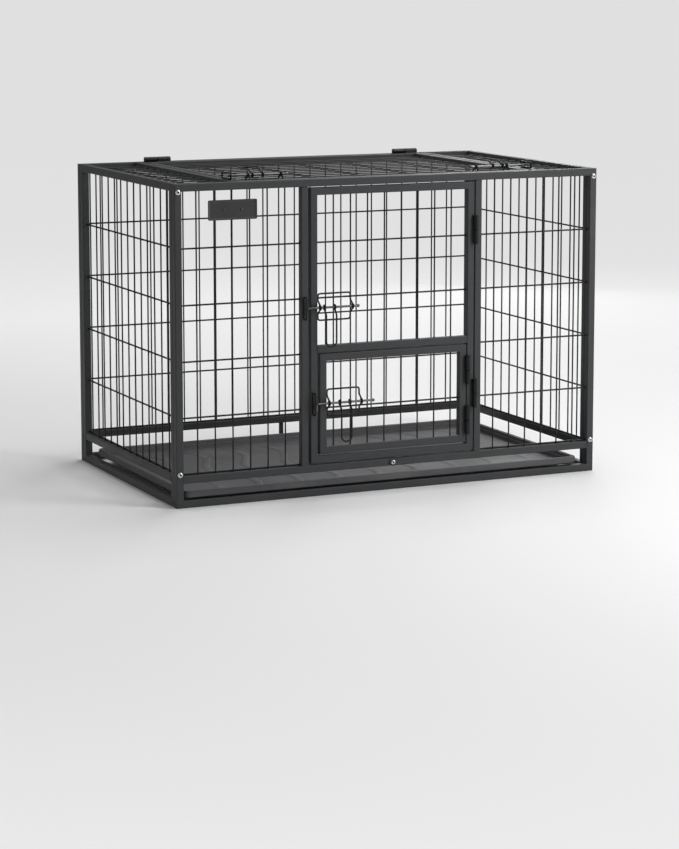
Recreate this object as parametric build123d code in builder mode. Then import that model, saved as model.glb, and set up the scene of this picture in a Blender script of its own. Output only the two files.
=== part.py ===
# Wire dog crate of welded square tube and wire mesh. Millimetres, +Z up.
# The crate is centred on X and Y, stands on Z = 0 and its doors face -Y.
import os
from math import acos, sin, tan

from build123d import *

os.makedirs("parts", exist_ok=True)

# ---- overall sizes ----
width = 924.0
depth = 556.0
height = 628.0

# ---- square tube ----
tube = 15.0
wall = 1.2
tube_round = 1.8
seam = 0.04  # gap between two members that are welded together

# ---- wire mesh ----
wire_d = 3.0
cross_d = 3.5
wire_pitch = 37.0
row_pitch = 109.5
weld_sink = 0.3  # a cross wire is pressed this far into the uprights
least_margin = 22.0  # least space from an upright to the tube beside it
door_margin = 15.0  # the same in the small door
head_margin = 40.0  # least space above the top cross wire

# ---- heights of the panel rails ----
slot_bottom = tube
slot_height = 33.0
sill = slot_bottom + slot_height  # underside of the lower rail
sill_top = sill + tube
lintel = height - tube  # underside of the top rail

# ---- doors ----
bay = 366.0  # clear width between the two door posts
latch_gap = 4.5
hinge_gap = 1.5
end_gap = 2.0
mid_rail_z = 285.0  # underside of the big door's middle rail
small_floor_gap = 3.0
small_head_gap = 1.6

# ---- lid ----
lid_width = 644.0
lid_side_gap = 3.0

# ---- hinges ----
knuckle_d = 10.0
knuckle_clear = 0.3
pin_d = 5.0
pin_fit = 0.3
hinge_len = 58.0
hinge_head = 127.5  # upper door hinge below the top rail
knuckle_gap = 0.6
foot_w = 4.0
foot_gap = 0.2

# ---- slide latches ----
latch_wire = 3.5
rod_d = 4.5
rod_out = 7.0  # rod axis in front of the tube faces
ball_d = 6.6
ball_stand = 6.5  # ball past the far eye when locked
eye_fit = 0.3
eye_swell = 0.1  # an eye is a little fatter than its wire
bracket_w = 70.0
bracket_h = 52.5
bracket_waist = 26.0  # height of the kink that comes out to each eye
bracket_gap = 0.3  # bracket to the tube beside it
bracket_bend = 5.0
tip_reach = 34.5  # rod tip past the first eye when locked
small_reach = 48.5
lid_reach = 47.5
handle_w = 22.0
handle_drop = 78.5
handle_crank = 9.0
handle_bend = 10.5
eye_gap = 0.3
hook_drop = 15.5
keeper_h = 47.0
keeper_stand = 15.5
keeper_waist = 1.2
keeper_bend = 3.6
keeper_inset = 2.5  # keeper behind the locked tip
small_keeper_inset = 16.0
draw_clear = 1.25  # drawn-back tip to its keeper
lid_eye_in = 22.0  # outer eye of a lid latch to the lid tube

# ---- tray ----
tray_left_gap = 1.5  # the loose tray stands a little to the left
tray_right_gap = 20.0
tray_front_inset = 2.0
tray_back_inset = 51.0
tray_clear = 0.3
tray_height = 16.7
tray_wall = 2.5
tray_round = 15.0
rim_band = 12.0  # skirt that turns down round the rim
rim_proud = 7.0
ledge = 4.0  # step half way down the wall
ledge_drop = 6.5
tray_foot_round = 2.0
rib_count = 9
rib_w = 10.0
rib_h = 1.6

# ---- tray locks ----
strap_w = 10.0
strap_t = 2.5
strap_head_d = 15.0
strap_len = 35.5
strap_clear = 0.3
lock_bolt_d = 5.0
lock_hole_fit = 0.4
lock_head_d = 9.5
lock_head_t = 3.0

# ---- bolts that join the panels ----
bolt_d = 6.0
bolt_head_d = 11.0
bolt_head_t = 3.2
bolt_hole_d = 6.4
bolt_len = 24.0
bolt_low = 66.0
bolt_head_room = 16.0  # upper bolts below the top of the crate
nut_d = 9.0
nut_len = 10.0
nut_fit = 0.05

# ---- bare plate on the front ----
plate_w = 102.0
plate_h = 39.0
plate_t = 1.2
plate_shift = 1.0  # plate to the right of the third wire
plate_drop = 38.5  # plate below the top rail
rivet_d = 4.0
rivet_head_d = 6.5
rivet_head_t = 1.2
clip_h = 10.0
clip_t = 1.0


# ---- derived places ----
half_w = width / 2
half_d = depth / 2
post_in = half_w - tube
end_half = half_d - tube
half_bay = bay / 2
upright_in = tube / 2
bolt_high = height - bolt_head_room
cross_in = upright_in + (wire_d + cross_d) / 2 - weld_sink
first_row = sill_top + cross_d / 2
row_count = int((lintel - first_row - head_margin) / row_pitch) + 1
rows = [first_row + row_pitch * i for i in range(row_count)]
latch_r = latch_wire / 2
eye_r = rod_d / 2 + eye_fit + latch_r
bracket_back = upright_in - wire_d / 2 - latch_r  # bracket rests on the uprights


def wires_between(low, high, least):
    """Upright places at the wire pitch, centred, clear of both ends."""
    count = int((high - low - 2 * least) / wire_pitch) + 1
    start = (low + high - wire_pitch * (count - 1)) / 2
    return [start + wire_pitch * i for i in range(count)]


def rows_between(low, high):
    """Those cross wire heights that fall inside a panel."""
    return [z for z in rows if low + cross_d < z < high - cross_d]


def on_front(a, b, out):
    """Point on the front: a across, b up, out away from the face."""
    return (a, -half_d - out, b)


def on_back(a, b, out):
    return (a, half_d + out, b)


def on_left(a, b, out):
    return (-half_w - out, a, b)


def on_right(a, b, out):
    return (half_w + out, a, b)


def on_top(a, b, out):
    return (a, b, height + out)


def on_roof(a, b, out):
    """Point on the roof for wires that run along X: a along Y, b along X."""
    return (b, a, height + out)


def round_bar(start, end, d):
    """Straight round bar between two points."""
    a = Vector(*start)
    run = Vector(*end) - a
    with BuildSketch(Plane(origin=a, z_dir=run.normalized())) as section:
        Circle(d / 2)
    extrude(section.sketch, amount=run.length)


def ball(centre, d):
    with Locations(centre):
        Sphere(d / 2)


def ring_x(centre, d):
    """Closed eye of latch wire round a rod that runs along X."""
    with Locations(Location(centre, (0, 90, 0))):
        Torus(eye_r, d / 2)


def square_tube(start, end):
    """Hollow square tube between two points, with a seam at each end."""
    a = Vector(*start)
    run = Vector(*end) - a
    way = run.normalized()
    with BuildSketch(Plane(origin=a + way * seam, z_dir=way)) as section:
        RectangleRounded(tube, tube, tube_round)
        Rectangle(tube - 2 * wall, tube - 2 * wall, mode=Mode.SUBTRACT)
    extrude(section.sketch, amount=run.length - 2 * seam)


def trapezoids(w, h, edge, inner, gap):
    """The four mitred members of a w by h ring, seen flat."""
    for long_side, other, turn in ((w, h, 0), (h, w, 90), (w, h, 180), (h, w, 270)):
        low = -other / 2 + edge
        top = -other / 2 + inner
        a = long_side / 2 - edge - gap
        b = long_side / 2 - inner - gap
        with Locations(Location((0, 0, 0), (0, 0, turn))):
            Polygon((-a, low), (a, low), (b, top), (-b, top), align=None)


def mitred_ring(face, w, h, long_axes):
    """Ring of four hollow mitred tubes; face is the middle of its outer side."""
    with BuildSketch(face) as outline:
        trapezoids(w, h, 0, tube, seam)
    extrude(outline.sketch, amount=tube)
    for axis in long_axes:
        long_edges = ring_edges(axis)
        fillet(long_edges, radius=tube_round)
    with BuildSketch(face.offset(wall)) as bore:
        trapezoids(w, h, wall, tube - wall, 0)
    extrude(bore.sketch, amount=tube - 2 * wall, mode=Mode.SUBTRACT)


def ring_edges(axis):
    """Edges of the part being built that run along one axis and are long."""
    found = BuildPart._get_context().part.edges().filter_by(axis)
    return found.filter_by(lambda e: e.length > 3 * tube)


def wire_field(side, uprights, crosses, low, high, left, right):
    """Welded mesh: uprights in the middle of the tube, cross wires behind."""
    for a in uprights:
        round_bar(side(a, low, -upright_in), side(a, high, -upright_in), wire_d)
    for b in crosses:
        round_bar(side(left, b, -cross_in), side(right, b, -cross_in), cross_d)


def wire_run(points, bend, closed=False):
    """Path of straight runs with a round bend at every corner."""
    pts = [Vector(*p) for p in points]
    count = len(pts)
    runs = []
    bends = {}
    for i in range(count):
        if not closed and i in (0, count - 1):
            runs.append((pts[i], pts[i]))
            continue
        back = (pts[i - 1] - pts[i]).normalized()
        ahead = (pts[(i + 1) % count] - pts[i]).normalized()
        half = acos(max(-1.0, min(1.0, back.dot(ahead)))) / 2
        cut = bend / tan(half)
        inward = (back + ahead).normalized()
        start = pts[i] + back * cut
        end = pts[i] + ahead * cut
        mid = pts[i] + inward * (bend / sin(half) - bend)
        bends[i] = ThreePointArc(start, mid, end)
        runs.append((start, end))
    edges = []
    for i in range(count):
        if i in bends:
            edges.append(bends[i])
        nxt = (i + 1) % count
        if nxt == 0 and not closed:
            break
        a = runs[i][1]
        b = runs[nxt][0]
        if (b - a).length > seam:
            edges.append(Line(a, b))
    return Wire(edges)


def bent_wire(path, d):
    """Round wire along a path."""
    with BuildSketch(Plane(origin=path @ 0, z_dir=path % 0)) as section:
        Circle(d / 2)
    sweep(section.sketch, path=path)


def vertical_hinge_half(axis_x, low, high, side):
    """Knuckle of an upright hinge and the foot that welds it to its tube."""
    axis_out = knuckle_d / 2 + knuckle_clear
    round_bar(on_front(axis_x, low, axis_out), on_front(axis_x, high, axis_out), knuckle_d)
    near = axis_x + side * (hinge_gap / 2 + foot_gap)
    foot_at = near + side * foot_w / 2
    with Locations((foot_at, -half_d - axis_out / 2, (low + high) / 2)):
        Box(foot_w, axis_out, high - low)


def level_hinge_half(left, right, side):
    """The same knuckle and foot laid along the lid's back edge."""
    axis_out = knuckle_d / 2 + knuckle_clear
    round_bar(on_top(left, lid_axis_y, axis_out), on_top(right, lid_axis_y, axis_out), knuckle_d)
    near = lid_axis_y + side * (hinge_gap / 2 + foot_gap)
    foot_at = near + side * foot_w / 2
    with Locations(((left + right) / 2, foot_at, height + axis_out / 2)):
        Box(right - left, foot_w, axis_out)


def drill(start, end, d):
    """Round hole between two points."""
    a = Vector(*start)
    run = Vector(*end) - a
    with BuildSketch(Plane(origin=a, z_dir=run.normalized())) as section:
        Circle(d / 2)
    extrude(section.sketch, amount=run.length, mode=Mode.SUBTRACT)


def latch_bracket(spot, waist_x, way):
    """Fixed wire bracket: a ring of wire with an eye for the rod each side.
    spot(x, out, drop) gives a point near the rod; way is -1 or 1 in X."""
    far_x = waist_x - way * bracket_w
    half = bracket_h / 2
    for x in (waist_x, far_x):
        ring_x(spot(x, rod_out, 0), latch_wire + eye_swell)
    for up in (-1, 1):
        arm = wire_run(
            [
                spot(waist_x, rod_out, up * eye_r),
                spot(waist_x, -bracket_back, up * bracket_waist / 2),
                spot(waist_x, -bracket_back, up * half),
                spot(far_x, -bracket_back, up * half),
                spot(far_x, -bracket_back, up * bracket_waist / 2),
                spot(far_x, rod_out, up * eye_r),
            ],
            bracket_bend,
        )
        bent_wire(arm, latch_wire)


def latch_rod(spot, tip_x, end_x, way, hooked):
    """Slide rod with a ball stop, its tip rounded or turned down."""
    ball(spot(end_x, rod_out, 0), ball_d)
    if hooked:
        path = wire_run(
            [spot(end_x, rod_out, 0), spot(tip_x - way * rod_d / 2, rod_out, 0),
             spot(tip_x - way * rod_d / 2, rod_out, hook_drop)],
            rod_d,
        )
        bent_wire(path, rod_d)
    else:
        round_bar(spot(end_x, rod_out, 0), spot(tip_x - way * rod_d / 2, rod_out, 0), rod_d)
        ball(spot(tip_x - way * rod_d / 2, rod_out, 0), rod_d)


def latch_handle(spot, eye_x, way):
    """U-shaped pull handle that swings on the rod."""
    far_x = eye_x - way * handle_w
    out = rod_out + handle_crank
    for x in (eye_x, far_x):
        ring_x(spot(x, rod_out, 0), latch_wire + eye_swell)
    path = wire_run(
        [
            spot(eye_x, rod_out, eye_r),
            spot(eye_x, out, eye_r + handle_crank),
            spot(eye_x, out, handle_drop - latch_r),
            spot(far_x, out, handle_drop - latch_r),
            spot(far_x, out, eye_r + handle_crank),
            spot(far_x, rod_out, eye_r),
        ],
        handle_bend,
    )
    bent_wire(path, latch_wire)


def keeper_loop(spot, x):
    """Upright loop of wire that the rod tip goes through."""
    back = latch_r
    front = keeper_stand - latch_r
    half = keeper_h / 2 - latch_r
    path = wire_run(
        [
            spot(x, back, half),
            spot(x, back, -half),
            spot(x, front, -half),
            spot(x, front - keeper_waist, 0),
            spot(x, front, half),
        ],
        keeper_bend,
        closed=True,
    )
    bent_wire(path, latch_wire)


def finish(part, name):
    part.part.label = name
    export_step(part.part, "parts/" + name + ".step")


# ---- fixed panels ----
front_face = Plane(origin=(0, -half_d, height / 2), x_dir=(1, 0, 0), z_dir=(0, 1, 0))
back_face = Plane(origin=(0, half_d, height / 2), x_dir=(1, 0, 0), z_dir=(0, -1, 0))
left_face = Plane(origin=(-half_w, 0, height / 2), x_dir=(0, 1, 0), z_dir=(1, 0, 0))
right_face = Plane(origin=(half_w, 0, height / 2), x_dir=(0, 1, 0), z_dir=(-1, 0, 0))
bolt_x = half_w - tube / 2
bolt_places = [(sx * bolt_x, z) for sx in (-1, 1) for z in (bolt_low, bolt_high)]
sill_mid = sill + tube / 2

with BuildPart() as front_frame:
    mitred_ring(front_face, width, height, (Axis.X, Axis.Z))
    square_tube(on_front(-post_in, sill_mid, -tube / 2), on_front(post_in, sill_mid, -tube / 2))
    for bx, bz in bolt_places:
        drill(on_front(bx, bz, 1), on_front(bx, bz, -tube - 1), bolt_hole_d)
finish(front_frame, "front_frame")

with BuildPart() as back_frame:
    mitred_ring(back_face, width, height, (Axis.X, Axis.Z))
    square_tube(on_back(-post_in, sill_mid, -tube / 2), on_back(post_in, sill_mid, -tube / 2))
    for bx, bz in bolt_places:
        drill(on_back(bx, bz, 1), on_back(bx, bz, -tube - 1), bolt_hole_d)
finish(back_frame, "back_frame")

post_mid = half_bay + tube / 2
with BuildPart() as door_posts:
    for side in (-1, 1):
        square_tube(
            on_front(side * post_mid, sill_top, -tube / 2),
            on_front(side * post_mid, lintel, -tube / 2),
        )
finish(door_posts, "door_posts")

end_inner = end_half - tube
with BuildPart() as left_end_frame:
    mitred_ring(left_face, 2 * end_half, height, (Axis.Y, Axis.Z))
    square_tube(on_left(-end_inner, sill_mid, -tube / 2), on_left(end_inner, sill_mid, -tube / 2))
    for sy in (-1, 1):
        for bz in (bolt_low, bolt_high):
            drill((-bolt_x, sy * (end_half + 1), bz), (-bolt_x, sy * (end_half - 2 * wall), bz), nut_d)
finish(left_end_frame, "left_end_frame")

with BuildPart() as right_end_frame:
    mitred_ring(right_face, 2 * end_half, height, (Axis.Y, Axis.Z))
    square_tube(on_right(-end_inner, sill_mid, -tube / 2), on_right(end_inner, sill_mid, -tube / 2))
    for sy in (-1, 1):
        for bz in (bolt_low, bolt_high):
            drill((bolt_x, sy * (end_half + 1), bz), (bolt_x, sy * (end_half - 2 * wall), bz), nut_d)
finish(right_end_frame, "right_end_frame")

# ---- fixed mesh ----
side_wires = wires_between(-post_in, -half_bay - tube, least_margin)
with BuildPart() as front_mesh_left:
    wire_field(on_front, side_wires, rows, sill_top, lintel, -post_in, -half_bay - tube)
finish(front_mesh_left, "front_mesh_left")

with BuildPart() as front_mesh_right:
    wire_field(on_front, [-x for x in side_wires], rows, sill_top, lintel, half_bay + tube, post_in)
finish(front_mesh_right, "front_mesh_right")

back_count = int((post_in - side_wires[0] - least_margin) / wire_pitch) + 1
back_wires = [side_wires[0] + wire_pitch * i for i in range(back_count)]
with BuildPart() as back_mesh:
    wire_field(on_back, back_wires, rows, sill_top, lintel, -post_in, post_in)
finish(back_mesh, "back_mesh")

end_wires = wires_between(-end_inner, end_inner, least_margin)
with BuildPart() as left_end_mesh:
    wire_field(on_left, end_wires, rows, sill_top, lintel, -end_inner, end_inner)
finish(left_end_mesh, "left_end_mesh")

with BuildPart() as right_end_mesh:
    wire_field(on_right, end_wires, rows, sill_top, lintel, -end_inner, end_inner)
finish(right_end_mesh, "right_end_mesh")

# ---- fixed side strips of the roof ----
roof_bar = lid_width / 2 + lid_side_gap + tube / 2
roof_in = roof_bar + tube / 2
strip_mid = (post_in + roof_in) / 2
with BuildPart() as roof_bars:
    for side in (-1, 1):
        square_tube(
            on_top(side * roof_bar, -end_half, -tube / 2),
            on_top(side * roof_bar, end_half, -tube / 2),
        )
finish(roof_bars, "roof_bars")

with BuildPart() as roof_mesh_left:
    wire_field(on_roof, end_wires, [-strip_mid], -post_in, -roof_in, -end_half, end_half)
finish(roof_mesh_left, "roof_mesh_left")

with BuildPart() as roof_mesh_right:
    wire_field(on_roof, end_wires, [strip_mid], roof_in, post_in, -end_half, end_half)
finish(roof_mesh_right, "roof_mesh_right")

# ---- floor bars ----
with BuildPart() as floor_bars:
    for x in (-width / 4, 0, width / 4):
        square_tube((x, -end_half, tube / 2), (x, end_half, tube / 2))
finish(floor_bars, "floor_bars")

# ---- panel bolts and their rivet nuts ----
with BuildPart() as panel_bolts:
    for side in (on_front, on_back):
        for bx, bz in bolt_places:
            round_bar(side(bx, bz, 0), side(bx, bz, bolt_head_t), bolt_head_d)
            round_bar(side(bx, bz, 0), side(bx, bz, -bolt_len), bolt_d)
    head_edges = panel_bolts.edges().filter_by(GeomType.CIRCLE)
    crown = head_edges.filter_by(
        lambda e: abs(abs(e.center().Y) - half_d - bolt_head_t) < seam
    )
    fillet(crown, radius=bolt_head_t / 2)
finish(panel_bolts, "panel_bolts")

with BuildPart() as panel_nuts:
    for side in (on_front, on_back):
        for bx, bz in bolt_places:
            start = -tube - seam
            round_bar(side(bx, bz, start), side(bx, bz, start - nut_len), nut_d - nut_fit)
            drill(side(bx, bz, start), side(bx, bz, start - nut_len), bolt_d + nut_fit)
finish(panel_nuts, "panel_nuts")

# ---- bare plate and its back strip ----
plate_out = -upright_in + wire_d / 2 + seam
plate_x = side_wires[2] + plate_shift
plate_z = lintel - plate_drop
with BuildPart() as name_plate:
    plate_back = Plane(origin=on_front(plate_x, plate_z, plate_out), x_dir=(1, 0, 0), z_dir=(0, -1, 0))
    with BuildSketch(plate_back) as blank:
        RectangleRounded(plate_w, plate_h, 2 * plate_t)
    extrude(blank.sketch, amount=plate_t)
    for side in (-1, 1):
        rx = plate_x + side * wire_pitch / 2
        round_bar(
            on_front(rx, plate_z, plate_out), on_front(rx, plate_z, plate_out + plate_t + rivet_head_t),
            rivet_head_d,
        )
        round_bar(on_front(rx, plate_z, plate_out), on_front(rx, plate_z, -cross_in), rivet_d)
finish(name_plate, "name_plate")

clip_out = -upright_in - wire_d / 2 - seam
with BuildPart() as plate_clip:
    with Locations(on_front(plate_x, plate_z, clip_out - clip_t / 2)):
        Box(plate_w - wire_pitch / 2, clip_t, clip_h)
    for side in (-1, 1):
        rx = plate_x + side * wire_pitch / 2
        drill(on_front(rx, plate_z, clip_out + 1), on_front(rx, plate_z, clip_out - 2), rivet_d + nut_fit)
finish(plate_clip, "plate_clip")

# ---- big door ----
door_left = -half_bay + latch_gap
door_right = half_bay - hinge_gap
door_low = sill_top + end_gap
door_high = lintel - end_gap
door_mid_x = (door_left + door_right) / 2
door_face = Plane(
    origin=(door_mid_x, -half_d, (door_low + door_high) / 2), x_dir=(1, 0, 0), z_dir=(0, 1, 0),
)
mid_rail = mid_rail_z + tube / 2
with BuildPart() as door_frame:
    mitred_ring(door_face, door_right - door_left, door_high - door_low, (Axis.X, Axis.Z))
    square_tube(
        on_front(door_left + tube, mid_rail, -tube / 2), on_front(door_right - tube, mid_rail, -tube / 2),
    )
finish(door_frame, "door_frame")

# ---- small door inside the big one ----
small_left = door_left + tube + latch_gap
small_right = door_right - tube - hinge_gap
small_low = door_low + tube + small_floor_gap
small_high = mid_rail_z - small_head_gap
small_mid_x = (small_left + small_right) / 2
small_face = Plane(
    origin=(small_mid_x, -half_d, (small_low + small_high) / 2), x_dir=(1, 0, 0), z_dir=(0, 1, 0),
)
inner_wires = wires_between(small_left + tube, small_right - tube, door_margin)
with BuildPart() as door_mesh:
    wire_field(
        on_front, inner_wires, rows_between(mid_rail_z + tube, door_high - tube),
        mid_rail_z + tube, door_high - tube, door_left + tube, door_right - tube,
    )
finish(door_mesh, "door_mesh")

with BuildPart() as small_door_frame:
    mitred_ring(small_face, small_right - small_left, small_high - small_low, (Axis.X, Axis.Z))
finish(small_door_frame, "small_door_frame")

with BuildPart() as small_door_mesh:
    wire_field(
        on_front, inner_wires, rows_between(small_low + tube, small_high - tube),
        small_low + tube, small_high - tube, small_left + tube, small_right - tube,
    )
finish(small_door_mesh, "small_door_mesh")

# ---- lid ----
lid_left = -lid_width / 2
lid_front = -end_half + end_gap
lid_back = end_half - hinge_gap
lid_mid_y = (lid_front + lid_back) / 2
lid_face = Plane(origin=(0, lid_mid_y, height), x_dir=(1, 0, 0), z_dir=(0, 0, -1))
lid_axis_y = end_half - hinge_gap / 2
with BuildPart() as lid_frame:
    mitred_ring(lid_face, lid_width, lid_back - lid_front, (Axis.X, Axis.Y))
finish(lid_frame, "lid_frame")

lid_in = -lid_left - tube
half_count = int((lid_in - head_margin) / row_pitch)
lid_rows = [row_pitch * i for i in range(-half_count, half_count + 1)]
with BuildPart() as lid_mesh:
    wire_field(on_roof, end_wires, lid_rows, -lid_in, lid_in, lid_front + tube, lid_back - tube)
finish(lid_mesh, "lid_mesh")

# ---- hinges: the lower half carries the pin, the upper half is bored ----
door_axis_x = half_bay - hinge_gap / 2
small_axis_x = door_right - tube - hinge_gap / 2
door_hinges = (154.0, lintel - hinge_head)
small_hinges = (100.0, 202.5)
lid_hinge_mid = 290.0
half_len = (hinge_len - knuckle_gap) / 2
pin_reach = hinge_len - 2 * knuckle_gap
axis_out = knuckle_d / 2 + knuckle_clear


def pin_halves(axis_x, lows, side):
    for low in lows:
        vertical_hinge_half(axis_x, low, low + half_len, side)
        round_bar(on_front(axis_x, low, axis_out), on_front(axis_x, low + pin_reach, axis_out), pin_d)


def bored_halves(axis_x, lows, side):
    for low in lows:
        top = low + hinge_len
        vertical_hinge_half(axis_x, top - half_len, top, side)
        drill(on_front(axis_x, low, axis_out), on_front(axis_x, top + 1, axis_out), pin_d + 2 * pin_fit)


with BuildPart() as door_hinge_pins:
    pin_halves(door_axis_x, door_hinges, 1)
finish(door_hinge_pins, "door_hinge_pins")

with BuildPart() as door_hinge_knuckles:
    bored_halves(door_axis_x, door_hinges, -1)
finish(door_hinge_knuckles, "door_hinge_knuckles")

with BuildPart() as small_hinge_pins:
    pin_halves(small_axis_x, small_hinges, 1)
finish(small_hinge_pins, "small_hinge_pins")

with BuildPart() as small_hinge_knuckles:
    bored_halves(small_axis_x, small_hinges, -1)
finish(small_hinge_knuckles, "small_hinge_knuckles")

with BuildPart() as lid_hinge_pins:
    for side in (-1, 1):
        left = side * lid_hinge_mid - hinge_len / 2
        level_hinge_half(left, left + half_len, 1)
        round_bar(on_top(left, lid_axis_y, axis_out), on_top(left + pin_reach, lid_axis_y, axis_out), pin_d)
finish(lid_hinge_pins, "lid_hinge_pins")

with BuildPart() as lid_hinge_knuckles:
    for side in (-1, 1):
        left = side * lid_hinge_mid - hinge_len / 2
        right = left + hinge_len
        level_hinge_half(right - half_len, right, -1)
        drill(
            on_top(left, lid_axis_y, axis_out), on_top(right + 1, lid_axis_y, axis_out), pin_d + 2 * pin_fit,
        )
finish(lid_hinge_knuckles, "lid_hinge_knuckles")

# ---- slide latches ----
big_rod_z = 376.0
small_rod_z = 185.5
lid_rod_y = lid_front + tube + latch_r + bracket_gap + bracket_h / 2
big_waist_x = door_left + tube + latch_r + bracket_gap
small_waist_x = small_left + tube + latch_r + bracket_gap
lid_waist_x = lid_in - lid_eye_in


def by_big(x, out, drop):
    return on_front(x, big_rod_z - drop, out)


def by_small(x, out, drop):
    return on_front(x, small_rod_z - drop, out)


def by_lid(x, out, drop):
    return on_top(x, lid_rod_y + drop, out)


def latch(spot, name, waist_x, way, reach, inset, hooked):
    """Bracket, drawn-back rod and handle of one latch; the tip points way."""
    draw = inset + latch_r + draw_clear
    locked_eye = waist_x - way * (latch_wire + eye_gap)
    locked_end = waist_x - way * (bracket_w + ball_stand)
    with BuildPart() as bracket:
        latch_bracket(spot, waist_x, way)
    finish(bracket, name + "_bracket")
    with BuildPart() as rod:
        latch_rod(spot, waist_x + way * (reach - draw), locked_end - way * draw, way, hooked)
    finish(rod, name + "_bolt")
    with BuildPart() as handle:
        latch_handle(spot, locked_eye - way * draw, way)
    finish(handle, name + "_handle")


latch(by_big, "door", big_waist_x, -1, tip_reach, keeper_inset, False)
latch(by_small, "small_door", small_waist_x, -1, small_reach, small_keeper_inset, True)
latch(by_lid, "lid_left", -lid_waist_x, -1, lid_reach, keeper_inset, False)
latch(by_lid, "lid_right", lid_waist_x, 1, lid_reach, keeper_inset, False)

with BuildPart() as door_keeper:
    keeper_loop(by_big, big_waist_x - tip_reach + keeper_inset)
finish(door_keeper, "door_keeper")

with BuildPart() as small_door_keeper:
    keeper_loop(by_small, small_waist_x - small_reach + small_keeper_inset)
finish(small_door_keeper, "small_door_keeper")

with BuildPart() as lid_keepers:
    for side in (-1, 1):
        keeper_loop(by_lid, side * (lid_waist_x + lid_reach - keeper_inset))
finish(lid_keepers, "lid_keepers")

# ---- tray ----
tray_low = slot_bottom + tray_clear
tray_top = tray_low + tray_height
tray_left = -post_in + tray_left_gap
tray_right = post_in - tray_right_gap
tray_w = tray_right - tray_left
tray_mid_x = (tray_left + tray_right) / 2
tray_front = -half_d + tray_front_inset
tray_back = half_d - tray_back_inset
tray_d = tray_back - tray_front
tray_mid_y = (tray_front + tray_back) / 2
wall_inset = rim_proud + tray_wall
low_inset = wall_inset + ledge
ledge_z = tray_top - ledge_drop
floor_w = tray_w - 2 * low_inset
rib_step = floor_w / rib_count
rib_run = tray_d - 2 * low_inset - 4 * tray_round


def tray_slab(inset, low, high, mode):
    """Rounded slab with the tray's outline, drawn in by an inset."""
    corner = max(tray_round - inset, tray_foot_round)
    with BuildSketch(Plane(origin=(tray_mid_x, tray_mid_y, low))) as outline:
        RectangleRounded(tray_w - 2 * inset, tray_d - 2 * inset, corner)
    extrude(outline.sketch, amount=high - low, mode=mode)


with BuildPart() as tray:
    tray_slab(0, tray_top - rim_band, tray_top, Mode.ADD)
    lip = tray.faces().filter_by(Axis.Z).sort_by(Axis.Z)[-1]
    fillet(lip.edges(), radius=tray_wall / 2)
    tray_slab(tray_wall, tray_top - rim_band, tray_top - tray_wall, Mode.SUBTRACT)
    tray_slab(rim_proud, ledge_z - tray_wall, tray_top - tray_wall, Mode.ADD)
    tray_slab(low_inset - tray_wall, tray_low, ledge_z, Mode.ADD)
    tray_slab(wall_inset, ledge_z, tray_top, Mode.SUBTRACT)
    tray_slab(low_inset, tray_low + tray_wall, ledge_z, Mode.SUBTRACT)
    rib_plane = Plane(origin=(tray_mid_x, tray_mid_y, tray_low + tray_wall - seam))
    with BuildSketch(rib_plane) as ribs:
        for i in range(rib_count - 1):
            rib_x = (i - (rib_count - 2) / 2) * rib_step
            with Locations((rib_x, 0)):
                SlotCenterToCenter(rib_run, rib_w, rotation=75)
    extrude(ribs.sketch, amount=rib_h)
finish(tray, "tray")

# ---- tray locks ----
def lock_strap(side, way, hang):
    """Strap that turns on a bolt in the lower rail."""
    turn = (0, -1) if hang else (1, 0)
    end = (way * turn[0] * strap_len, sill_mid + turn[1] * strap_len)
    face = Plane(origin=side(0, 0, strap_clear), x_dir=(1, 0, 0), z_dir=(0, way * -1, 0))
    with BuildSketch(face) as outline:
        head = face.to_local_coords(Vector(*side(0, sill_mid, strap_clear)))
        tail = face.to_local_coords(Vector(*side(end[0], end[1], strap_clear)))
        with Locations((head.X, head.Y)):
            Circle(strap_head_d / 2)
        with Locations(((head.X + tail.X) / 2, (head.Y + tail.Y) / 2)):
            along = 90 if hang else 0
            SlotCenterToCenter(strap_len - strap_w / 2, strap_w, rotation=along)
        with Locations((head.X, head.Y)):
            Circle(lock_bolt_d / 2 + lock_hole_fit, mode=Mode.SUBTRACT)
    extrude(outline.sketch, amount=strap_t)


def lock_bolt(side):
    """Pivot bolt with a domed head in front of the strap."""
    head_at = strap_clear + strap_t + strap_clear
    round_bar(side(0, sill_mid, 0), side(0, sill_mid, head_at), lock_bolt_d)
    round_bar(side(0, sill_mid, head_at), side(0, sill_mid, head_at + lock_head_t), lock_head_d)


with BuildPart() as front_lock:
    lock_strap(on_front, 1, False)
finish(front_lock, "front_lock")

with BuildPart() as back_lock:
    lock_strap(on_back, -1, True)
finish(back_lock, "back_lock")

with BuildPart() as front_lock_bolt:
    lock_bolt(on_front)
finish(front_lock_bolt, "front_lock_bolt")

with BuildPart() as back_lock_bolt:
    lock_bolt(on_back)
finish(back_lock_bolt, "back_lock_bolt")
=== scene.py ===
# %% [markdown]
# A wire dog crate in welded square tube and wire mesh. The CAD frame is loaded
# first and never moved; every piece below is finer than its CAD node and sits
# in the same place, in metres.

# %% Load the frame
import math

import bmesh
import bpy
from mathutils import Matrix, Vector, noise


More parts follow.
